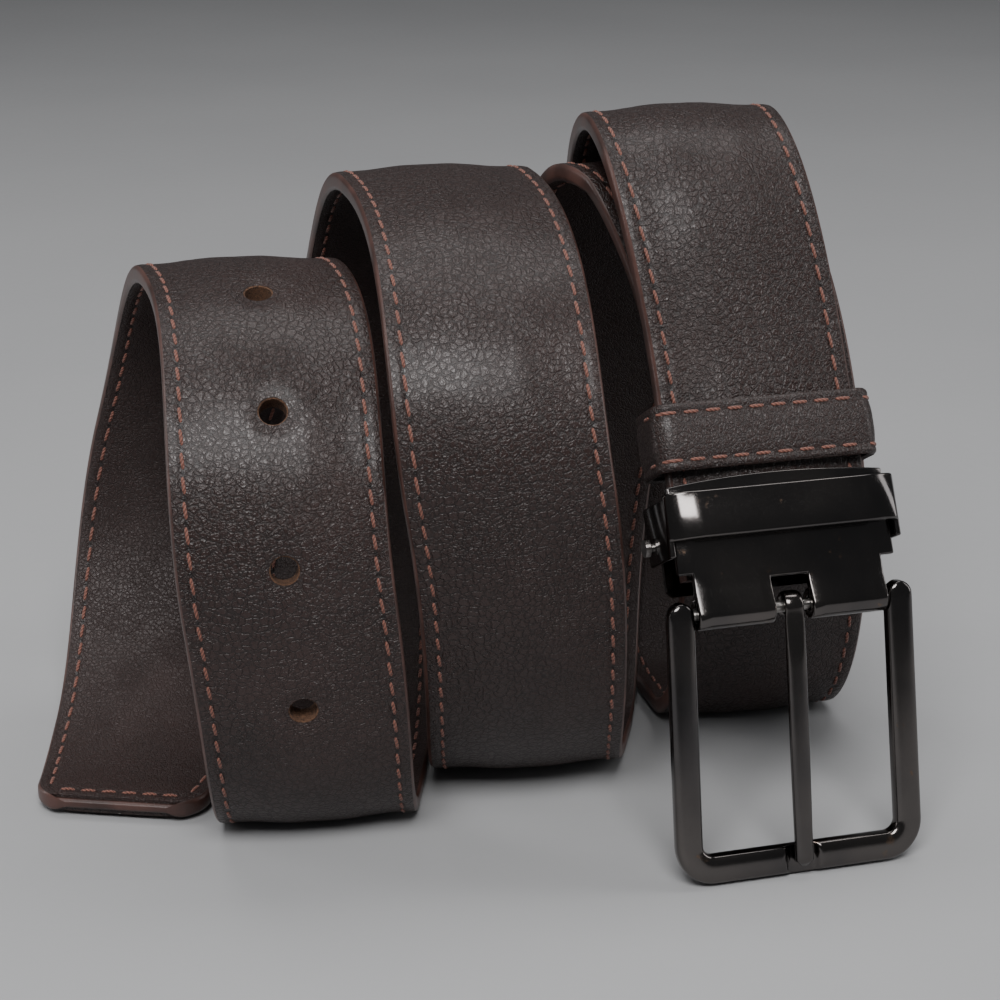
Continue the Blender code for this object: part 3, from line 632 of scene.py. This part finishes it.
def thread_finish():
    thread = Finish("waxed_thread")
    across, along = thread.measured()
    ply_relief_and_groove_shade = ((along * (2 * math.pi / (0.75 * MM)) + across * (2 * math.pi / (0.9 * MM))).wave() + 1) / 2
    fuzz = thread.grain(5200.0)
    # The ply wave raises the twisted strands in the bump, and the grooves between them are painted
    # darker: painted shade.
    shade = thread.mix((0.085, 0.028, 0.019), (0.27, 0.10, 0.068), ply_relief_and_groove_shade * 0.8 + fuzz * 0.25)
    tone = thread.grain(120.0)
    shade = thread.mix(shade, (0.15, 0.055, 0.038), tone.ramp(0.5, 0.8, 0.0, 0.6))
    return thread.paint(Base_Color=shade, Roughness=fuzz * 0.25 + 0.45, Sheen_Weight=0.15,
                        Normal=thread.bump(ply_relief_and_groove_shade + fuzz * 0.4, 0.12 * MM, 0.9))


def stitch_rings(spine, wide, tall, out):
    """Rings of a short thread along a spine of points; its ends draw in."""
    rings = []
    for k, point in enumerate(spine):
        ahead = spine[min(k + 1, len(spine) - 1)] - spine[max(k - 1, 0)]
        side = ahead.cross(out).normalized()
        share = abs(2 * k / (len(spine) - 1) - 1)
        size = math.sqrt(max(0.0, 1 - share**4)) * 0.9 + 0.1
        rings.append([point + side * (wide * size * math.cos(a)) + out * (tall * size * math.sin(a))
                      for a in (math.pi / 4 * n for n in range(8))])
    return rings


def sewn(name, stitches, finish):
    """All the stitches of one seam as one piece; each is its own closed bit of thread."""
    points, faces, places = [], [], []
    for rings in stitches:
        base, count = len(points), len(rings[0])
        points += [p for ring in rings for p in ring]
        for i in range(len(rings) - 1):
            for j in range(count):
                k = (j + 1) % count
                low, high = base + i * count, base + (i + 1) * count
                faces.append((low + j, low + k, high + k, high + j))
                for row, column in ((i, j), (i, j + 1), (i + 1, j + 1), (i + 1, j)):
                    places.append((column * THREAD * 0.4, row * STITCH_LENGTH / 7))
        for row in (0, len(rings) - 1):
            faces.append([base + row * count + j for j in range(count)])
            places += [(0.0, 0.0)] * count
    mesh = bpy.data.meshes.new(name)
    mesh.from_pydata(points, [], faces)
    layer = mesh.uv_layers.new(name="UVMap")
    layer.data.foreach_set("uv", [v for place in places for v in place])
    return made_object(name, mesh, finish, 80)


def strap_seam(outward):
    """Stitches down both sides of the strap and across its tip."""
    height = face_height if outward > 0 else lining_height
    stitches = []

    def add(x0, d0, x1, d1):
        spine = []
        for k in range(8):
            t = k / 7
            x, d = x0 + (x1 - x0) * t, d0 + (d1 - d0) * t
            sink = (abs(2 * t - 1) ** 3) * THREAD * 0.55
            lift = height(x, d) + THREAD * 0.22 - sink
            spine.append(on_strap(x, d, lift * outward))
        middle = (d0 + d1) / 2
        out = (on_strap(0, middle, MM) - on_strap(0, middle, 0)).normalized() * outward
        stitches.append(stitch_rings(spine, THREAD / 2, THREAD * 0.4, out))

    count = int((LENGTH - 12 * MM) / STITCH_PITCH)
    for i in range(1, count):
        start = i * STITCH_PITCH + (STITCH_PITCH - STITCH_LENGTH) / 2
        for side in (-1, 1):
            inset = [side * (half_width(d) - STITCH_INSET) for d in (start, start + STITCH_LENGTH)]
            add(inset[0] - SLANT, start, inset[1] + SLANT, start + STITCH_LENGTH)
    reach = half_width(STITCH_INSET) - STITCH_INSET - 0.4 * MM
    across = int(2 * reach / STITCH_PITCH)
    for i in range(across):
        x = -across * STITCH_PITCH / 2 + i * STITCH_PITCH + (STITCH_PITCH - STITCH_LENGTH) / 2
        add(x, STITCH_INSET - SLANT, x + STITCH_LENGTH, STITCH_INSET + SLANT)
    return stitches


thread = thread_finish()
for outward, name, node in ((1, "face_seam", "face_stitching"), (-1, "lining_seam", "lining_stitching")):
    seam = sewn(name, strap_seam(outward), thread)
    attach(seam, "belt")
    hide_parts(node)


# The keeper is a closed loop of the same calf leather with folded edges and two sewn rows.
# It slides on the strap just above the clamp and holds the strap's tip.

KEEPER_LOW = (21.5 + 1.2 + 1.4) * MM
KEEPER_WIDTH = 11.5 * MM
KEEPER_WALL = 1.4 * MM
KEEPER_CORNER = 1.6 * MM
KEEPER_ROWS = (1.7 * MM, 9.8 * MM)      # seams, above the keeper's lower edge
KEEPER_PITCH = 3.9 * MM


def keeper_path():
    """Inner outline seen along the strap: point, outward direction and distance round it."""
    half = STRAP_WIDTH / 2 + 0.9 * MM
    front, back = PIN_OUT - HALF - CROWN - 0.88 * MM, PIN_OUT + HALF + 4.6 * MM
    corners = [(half, front, -90), (half, back, 0), (-half, back, 90), (-half, front, 180)]
    path = []
    for x, y, start in corners:
        middle = Vector((x - math.copysign(KEEPER_CORNER, x), y + (KEEPER_CORNER if y == front
                                                                  else -KEEPER_CORNER)))
        for k in range(9):
            angle = math.radians(start + 90 * k / 8)
            out = Vector((math.cos(angle), math.sin(angle)))
            path.append((middle + out * KEEPER_CORNER, out))
    full_path, travelled = [], [0.0]
    for (a, out_a), (b, out_b) in zip(path, path[1:] + path[:1]):
        parts = max(1, math.ceil((b - a).length / (0.7 * MM)))
        for k in range(parts):
            full_path.append((a.lerp(b, k / parts), out_a.lerp(out_b, k / parts).normalized()))
            travelled.append(travelled[-1] + (b - a).length / parts)
    return full_path, travelled


def keeper_height(up, around):
    """Thickness of the keeper at a height above its lower edge."""
    height = KEEPER_WALL + 0.22 * MM * eased(up, 1.7 * MM, 4.5 * MM) * eased(
        KEEPER_WIDTH - up, 1.7 * MM, 4.5 * MM)
    for row in KEEPER_ROWS:
        height -= 0.2 * MM * (1 - eased(abs(up - row), 0.0, 0.7 * MM))
    edge = min(up, KEEPER_WIDTH - up)
    height -= 0.5 * MM * (1 - math.sqrt(1 - (1 - min(edge / (0.9 * MM), 1.0)) ** 2))
    return height + 0.05 * MM * noise.noise(Vector((up, around, 11 * MM)) * 300)


def keeper_finish():
    # The second colour is the darker tone painted into the creases between the pebbles: painted shade.
    colour, crease_shade = (0.026, 0.0125, 0.0105), (0.008, 0.004, 0.0034)
    leather, shade, rough, relief = worked("keeper_leather", colour, crease_shade, 1.0 * MM, 0.17 * MM, 0.27)
    return leather.paint(Base_Color=shade, Roughness=rough, Normal=relief, Coat_Weight=0.15,
                         Coat_Roughness=0.25)


def make_keeper():
    path, travelled = keeper_path()
    columns = [KEEPER_WIDTH * k / 30 for k in range(31)]
    rings = []
    for (point, out), around in zip(path, travelled):
        ring = []
        for up in columns:
            spot = point + out * keeper_height(up, around)
            ring.append(SEAT @ Vector((spot.x, spot.y, KEEPER_LOW + up)))
        for up in (KEEPER_WIDTH - 0.3 * MM, 0.3 * MM):
            ring.append(SEAT @ Vector((point.x, point.y, KEEPER_LOW + up)))
        rings.append(ring)
    loop = lofted("keeper_band", rings, columns + [KEEPER_WIDTH, 0.0, 0.0], travelled,
                  keeper_finish(), closed=True)
    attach(loop, "keeper")
    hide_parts("keeper_loop")
    back = max(point.y for point, _ in path)
    for row, node in zip(KEEPER_ROWS, ("keeper_stitch_lower", "keeper_stitch_upper")):
        stitches = []
        count = int(travelled[-1] / KEEPER_PITCH)
        for i in range(count):
            spine, outs = [], []
            for k in range(8):
                around = (i + 0.1 + 0.8 * k / 7) * KEEPER_PITCH
                place = bisect.bisect_right(travelled, around) - 1
                point, out = path[place % len(path)]
                onward = path[(place + 1) % len(path)][0]
                share = (around - travelled[place]) / (travelled[place + 1] - travelled[place])
                spot = point.lerp(onward, share)
                sink = (abs(2 * k / 7 - 1) ** 3) * THREAD * 0.55
                spot = spot + out * (keeper_height(row, around) + THREAD * 0.22 - sink)
                spine.append(SEAT @ Vector((spot.x, spot.y, KEEPER_LOW + row)))
                outs.append((spot.y, out))
            if max(y for y, _ in outs) < back - KEEPER_CORNER:
                out = SEAT.to_3x3() @ Vector((*outs[4][1], 0))
                stitches.append(stitch_rings(spine, THREAD / 2, THREAD * 0.4, out))
        seam = sewn(node.replace("stitch", "seam"), stitches, thread)
        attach(seam, "keeper")
        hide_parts(node)


make_keeper()


# The buckle is cast zinc, polished and plated black nickel. Handling has worn the plating
# thin in places, so a warm brass tone shows through, with hairline scratches.

def plated():
    metal = Finish("black_nickel")
    place = metal.place()
    cloud = metal.grain(45.0, place, detail=3.0)
    rub = metal.grain(260.0, place, detail=5.0, rough=0.65).ramp(0.64, 0.72)
    fine = metal.grain(1500.0, place, detail=3.0)
    scratch = metal.node("ShaderNodeTexWave", {"Vector": place, "Scale": 420.0, "Distortion": 38.0,
                                               "Detail": 3.0, "Detail Scale": 1.4},
                         output="Fac").ramp(0.985, 1.0)
    shade = metal.mix((0.085, 0.080, 0.080), (0.13, 0.118, 0.112), cloud.ramp(0.35, 0.7))
    shade = metal.mix(shade, (0.30, 0.17, 0.09), rub * 0.4)
    rough = cloud * 0.07 + 0.08 + rub * 0.10 + scratch * 0.10 + fine * 0.03
    relief = metal.bump(fine * 0.12 + scratch * 0.1 + cloud * 1.2, 0.05 * MM, 0.2)
    return metal.paint(Base_Color=shade, Metallic=1.0, Roughness=rough, Normal=relief)


def turned_steel():
    steel = Finish("turned_steel")
    place = steel.place()
    fine = steel.grain(1800.0, place, detail=3.0)
    stain = steel.grain(300.0, place, detail=3.0)
    shade = steel.mix((0.24, 0.225, 0.215), (0.40, 0.38, 0.36), stain.ramp(0.35, 0.7))
    return steel.paint(Base_Color=shade, Metallic=1.0, Roughness=stain * 0.2 + 0.2,
                       Normal=steel.bump(fine, 0.05 * MM, 0.4))


black_nickel = plated()
steel = turned_steel()


def squircle(wide, tall, power=3.0, points=36):
    """Soft square outline: across and deep."""
    ring = []
    for k in range(points):
        angle = 2 * math.pi * k / points
        c, s = math.cos(angle), math.sin(angle)
        ring.append((math.copysign(abs(c) ** (2 / power), c) * wide,
                     math.copysign(abs(s) ** (2 / power), s) * tall))
    return ring


# The frame is one bent bar of soft square section, open at the top. Its arms turn on the
# cross pin, and its lower bar has a notch for the prong.

FRAME_HALF = 21.8 * MM
FLARE = 0.4 * MM
ARM_WIDTH = 4.7 * MM
BAR_HEIGHT = 5 * MM
NOTCH_HALF = 2.2 * MM
NOTCH_DEPTH = 1.1 * MM


def frame_path():
    """Middle line of the right half in the frame's plane, from the arm's head to the middle."""
    arm_top, arm_low = FRAME_HALF - ARM_WIDTH / 2, FRAME_HALF + FLARE - ARM_WIDTH / 2
    foot, bend = -FRAME_LENGTH + BAR_HEIGHT / 2, 4.3 * MM
    points = []
    head, shoulder = ARM_WIDTH / 2 - 0.05 * MM, foot + bend
    down = [head - (head - shoulder) * k / 44 for k in range(45)]
    near = [head - d * MM for d in (0.05, 0.15, 0.35, 0.65, 1.0, 1.4, 1.8)]
    for z in sorted(set(near + down), reverse=True):
        points.append(Vector((arm_top + (arm_low - arm_top) * (head - z) / (head - shoulder), z)))
    for k in range(1, 12):
        angle = math.radians(90 * k / 12)
        points.append(Vector((arm_low - bend + bend * math.cos(angle),
                              shoulder - bend * math.sin(angle))))
    flat = arm_low - bend
    points += [Vector((flat * (1 - k / 40), foot)) for k in range(41)]
    return points


def make_frame():
    right = frame_path()
    path = [Vector((-p.x, p.y)) for p in right] + right[-2::-1]
    rings, along = [], [0.0]
    for i, point in enumerate(path):
        ahead = (path[min(i + 1, len(path) - 1)] - path[max(i - 1, 0)]).normalized()
        out = Vector((ahead.y, -ahead.x))
        lying = abs(ahead.x) ** 2
        wide = (ARM_WIDTH * (1 - lying) + BAR_HEIGHT * lying) / 2
        tall = FRAME_DEPTH / 2
        head = ARM_WIDTH / 2 - point.y
        if head < ARM_WIDTH / 2:
            share = math.sqrt(max(0.0, 1 - (1 - head / (ARM_WIDTH / 2)) ** 2))
            wide *= max(share, 0.12)
            tall *= 0.55 + 0.45 * share
        ring = []
        for across, deep in squircle(wide, tall, 3.2):
            spot = point + out * across
            limit = -FRAME_DEPTH / 2 + NOTCH_DEPTH * (
                1 - eased(abs(spot.x), NOTCH_HALF, NOTCH_HALF + 1.2 * MM))
            y = max(deep, limit) if lying > 0.9 else deep
            ring.append(FRAME_SEAT @ Vector((spot.x, y, spot.y)))
        rings.append(ring)
        if i:
            along.append(along[-1] + (point - path[i - 1]).length)
    bar = lofted("polished_frame", rings, [0.4 * MM * k for k in range(37)], along, black_nickel,
                 smooth=70)
    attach(bar, "frame")
    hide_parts("buckle_frame")


make_frame()


# The prong is rolled round the cross pin and comes down in front to lie in the notch.

PRONG_WIDTH = 3.4 * MM
PRONG_TIP = -FRAME_LENGTH + 1.4 * MM


def make_prong():
    roll, spots = 1.95 * MM, []
    for k in range(27):
        angle = math.radians(-60 + 250 * k / 26)
        spots.append((Vector((roll * math.cos(angle), roll * math.sin(angle))), 1.25 * MM))
    start = spots[-1][0]
    for k in range(1, 41):
        share = k / 40
        z = start.y + (PRONG_TIP - start.y) * share
        thick = (1.25 + 0.75 * eased(share, 0.0, 0.2)) * MM
        spots.append((Vector((-1.92 * MM, z)), thick))
    rings, along = [], [0.0]
    for i, (spot, thick) in enumerate(spots):
        ahead = (spots[min(i + 1, len(spots) - 1)][0] - spots[max(i - 1, 0)][0]).normalized()
        out = Vector((ahead.y, -ahead.x))
        left = abs(spot.y - PRONG_TIP) if i > 27 else abs(i) * 0.5 * MM
        end = math.sqrt(max(0.0, 1 - (1 - min(left / (1.1 * MM), 1.0)) ** 2))
        wide = PRONG_WIDTH / 2 * (0.35 + 0.65 * end) * (1 - 0.08 * eased(left, 20 * MM, 0.0))
        deep = thick / 2 * (0.25 + 0.75 * end)
        rings.append([FRAME_SEAT @ Vector((a, spot.x + out.x * d, spot.y + out.y * d))
                      for a, d in squircle(wide, deep, 2.7)])
        if i:
            along.append(along[-1] + (spot - spots[i - 1][0]).length)
    prong = lofted("polished_prong", rings, [0.3 * MM * k for k in range(37)], along,
                   black_nickel, smooth=70)
    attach(prong, "tongue")
    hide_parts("prong")


make_prong()


# The clamp's plate is sheet metal: a wide bowed part in front of the strap, and two
# tabs below that are rolled back round the cross pin, with a slot for the prong.

PLATE_HALF = 19.25 * MM
TAB_HALF = 16.8 * MM
KNUCKLE_IN = 3.3 * MM
KNUCKLE_RADIUS = 2.6 * MM
PLATE_SHEET = 1.5 * MM
PLATE_MIDDLE = -1.15 * MM
PLATE_FOOT = 6.7 * MM
PLATE_TOP = 21.5 * MM
PLATE_BOW = 1.2 * MM
SLOT_TOP = 5 * MM


def bevelled(piece, width, segments, angle=40):
    step = piece.modifiers.new("softened", "BEVEL")
    step.width, step.segments = width, segments
    step.limit_method, step.angle_limit = "ANGLE", math.radians(angle)
    step.harden_normals = True


def baked(piece, smooth=35):
    """Keeps what the modifiers made as the piece's own mesh."""
    seen = piece.evaluated_get(bpy.context.evaluated_depsgraph_get())
    mesh = bpy.data.meshes.new_from_object(seen)
    piece.modifiers.clear()
    piece.data = mesh
    mesh.shade_smooth()
    mesh.set_sharp_from_angle(angle=math.radians(smooth))
    return piece


def make_plate():
    columns = [-PLATE_HALF, -TAB_HALF] + [-TAB_HALF + (TAB_HALF - KNUCKLE_IN) * k / 6
                                         for k in range(1, 6)]
    columns += [-KNUCKLE_IN, -1.6 * MM, 0.0]
    columns += [-x for x in columns[-2::-1]]
    rows = [("top", 0), ("flat", 19.5 * MM), ("flat", PLATE_FOOT), ("flat", SLOT_TOP),
            ("flat", 3.5 * MM)]
    rolled = [("roll", 180 + 300 * k / 20) for k in range(21)]
    radius = KNUCKLE_RADIUS - PLATE_SHEET / 2
    mesh = bpy.data.meshes.new("polished_plate")
    build = bmesh.new()
    grid = []
    for kind, value in rows + rolled:
        line = []
        for x in columns:
            if kind == "top":
                spot = (x, PLATE_MIDDLE, PLATE_TOP + PLATE_BOW * (1 - (x / PLATE_HALF) ** 2))
            elif kind == "flat":
                spot = (x, PLATE_MIDDLE, value)
            else:
                angle = math.radians(value)
                spot = (x, radius * math.cos(angle), radius * math.sin(angle))
            line.append(build.verts.new(spot))
        grid.append(line)
    for i in range(len(grid) - 1):
        for j in range(len(columns) - 1):
            middle = abs(columns[j] + columns[j + 1]) / 2
            below_plate, below_slot = i >= 2, i >= 3
            if (below_plate and middle > TAB_HALF) or (below_slot and middle < KNUCKLE_IN):
                continue
            build.faces.new((grid[i][j], grid[i][j + 1], grid[i + 1][j + 1], grid[i + 1][j]))
    bmesh.ops.delete(build, geom=[v for v in build.verts if not v.link_faces], context="VERTS")
    build.to_mesh(mesh)
    build.free()
    plate = made_object("polished_plate", mesh, black_nickel, place=SEAT)
    step = plate.modifiers.new("sheet", "SOLIDIFY")
    step.thickness, step.offset, step.use_even_offset = PLATE_SHEET, 0.0, True
    bevelled(plate, 0.3 * MM, 3)
    baked(plate)
    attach(plate, "belt")
    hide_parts("clamp_plate")


make_plate()


# The clamp's bar is a thick bevelled piece across the front, with a thin wall down each
# side of the strap that carries the toothed flap's pivot pins.

BAR_FRONT = -5.2 * MM
BAR_BACK = -2.2 * MM
BAR_FOOT = 12.2 * MM
BAR_TOP = 20.2 * MM
BAR_BEVEL = 2 * MM
WALL = 1 * MM
WALL_IN = PLATE_HALF + 0.3 * MM
WALL_FOOT = 9.5 * MM
WALL_BACK = 8.74 * MM
WALL_LAP = 1 * MM                 # how far each wall reaches into the bar
WALL_SHORT = 0.6 * MM             # and how far it stops below the bar's top


def make_bar():
    """The bar as one block whose front corners slope back, and a separate wall on each side."""
    outer = WALL_IN + WALL
    mesh = bpy.data.meshes.new("polished_bar")
    build = bmesh.new()
    steps = [-WALL_IN + 2 * WALL_IN * k / 16 for k in range(17)]
    front = [(-outer, BAR_FRONT + BAR_BEVEL)] + [
        (x, BAR_FRONT + max(0.0, BAR_BEVEL - (outer - abs(x)))) for x in steps] + [
        (outer, BAR_FRONT + BAR_BEVEL)]
    back = [(-outer, BAR_BACK + 0.01 * MM)] + [(x, BAR_BACK) for x in steps] + [
        (outer, BAR_BACK + 0.01 * MM)]
    low = [[build.verts.new((x, y, BAR_FOOT)) for x, y in row] for row in (front, back)]
    high = [[build.verts.new((x, y, BAR_TOP)) for x, y in row] for row in (front, back)]
    for j in range(len(front) - 1):
        for a, b in ((low[0], high[0]), (high[0], high[1]), (high[1], low[1]), (low[1], low[0])):
            build.faces.new((a[j], a[j + 1], b[j + 1], b[j]))
    for j in (0, len(front) - 1):
        build.faces.new((low[0][j], low[1][j], high[1][j], high[0][j]))
    build.to_mesh(mesh)
    build.free()
    bar = made_object("polished_bar", mesh, black_nickel, place=SEAT)
    bevelled(bar, 0.7 * MM, 4)
    baked(bar)
    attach(bar, "belt")
    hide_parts("clamp_bar")
    for side, name in ((-1, "side_wall_left"), (1, "side_wall_right")):
        mesh = bpy.data.meshes.new(name)
        build = bmesh.new()
        bmesh.ops.create_cube(build, size=1)
        front, top = BAR_BACK - WALL_LAP, BAR_TOP - WALL_SHORT
        bmesh.ops.scale(build, vec=(WALL, WALL_BACK - front, top - WALL_FOOT), verts=build.verts)
        bmesh.ops.translate(build, vec=(side * (WALL_IN + WALL / 2), (WALL_BACK + front) / 2,
                                        (top + WALL_FOOT) / 2), verts=build.verts)
        build.to_mesh(mesh)
        build.free()
        wall = made_object(name, mesh, black_nickel, place=SEAT)
        bevelled(wall, 0.35 * MM, 3)
        baked(wall)
        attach(wall, "belt")


make_bar()


# The toothed flap, its two pivot pins, the cross pin and the keeper's staple are plain
# pressed and turned metal, used as they were cut, in the plated or the steel finish.

for node, finish in (("clamp_flap", black_nickel), ("flap_pin_left", steel),
                     ("flap_pin_right", steel), ("cross_pin", steel), ("keeper_staple", steel)):
    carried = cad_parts[node]
    carried.data.materials.clear()
    carried.data.materials.append(finish)


# The belt stands on a plain pale floor, in soft studio light from above and the sides,
# and the camera looks down on it from the front.

def floor_finish():
    stone = Finish("pale_floor")
    mottle = stone.grain(6.0, detail=4.0)
    fine = stone.grain(300.0, detail=3.0)
    shade = stone.mix((0.34, 0.34, 0.348), (0.40, 0.40, 0.405), mottle)
    return stone.paint(Base_Color=shade, Roughness=fine * 0.2 + 0.55,
                       Normal=stone.bump(fine, 0.1 * MM, 0.3))


def make_floor():
    mesh = bpy.data.meshes.new("floor")
    build = bmesh.new()
    bmesh.ops.create_grid(build, x_segments=4, y_segments=4, size=6)
    build.to_mesh(mesh)
    build.free()
    made_object("floor", mesh, floor_finish())


def soft_light(name, place, target, size, power):
    lamp = bpy.data.lights.new(name, "AREA")
    lamp.shape, lamp.size, lamp.size_y, lamp.energy = "RECTANGLE", size[0], size[1], power
    made = bpy.data.objects.new(name, lamp)
    made.location = place
    made.rotation_euler = (Vector(target) - Vector(place)).to_track_quat("-Z", "Y").to_euler()
    bpy.context.scene.collection.objects.link(made)


def make_studio():
    make_floor()
    middle = (0, 0, 0.05)
    soft_light("key", (-0.05, -0.62, 0.86), middle, (0.62, 0.40), 11.0)
    soft_light("overhead", (0.0, 0.25, 0.95), middle, (0.9, 0.4), 4.0)
    soft_light("right_strip", (0.8, 0.05, 0.35), middle, (0.2, 0.7), 1.6)
    soft_light("left_strip", (-0.8, 0.05, 0.35), middle, (0.2, 0.7), 1.6)
    world = bpy.data.worlds.new("studio")
    world.use_nodes = True
    world.node_tree.nodes["Background"].inputs["Color"].default_value = (0.85, 0.87, 0.9, 1)
    world.node_tree.nodes["Background"].inputs["Strength"].default_value = 0.12
    bpy.context.scene.world = world
    eye = bpy.data.cameras.new("camera")
    eye.lens, eye.sensor_width, eye.clip_start = 79.0, 36.0, 0.01
    camera = bpy.data.objects.new("camera", eye)
    camera.location = (-6.8 * MM, -375.2 * MM, 191.8 * MM)
    camera.rotation_euler = (math.radians(69.25), 0, 0)
    bpy.context.scene.collection.objects.link(camera)
    bpy.context.scene.camera = camera


make_studio()
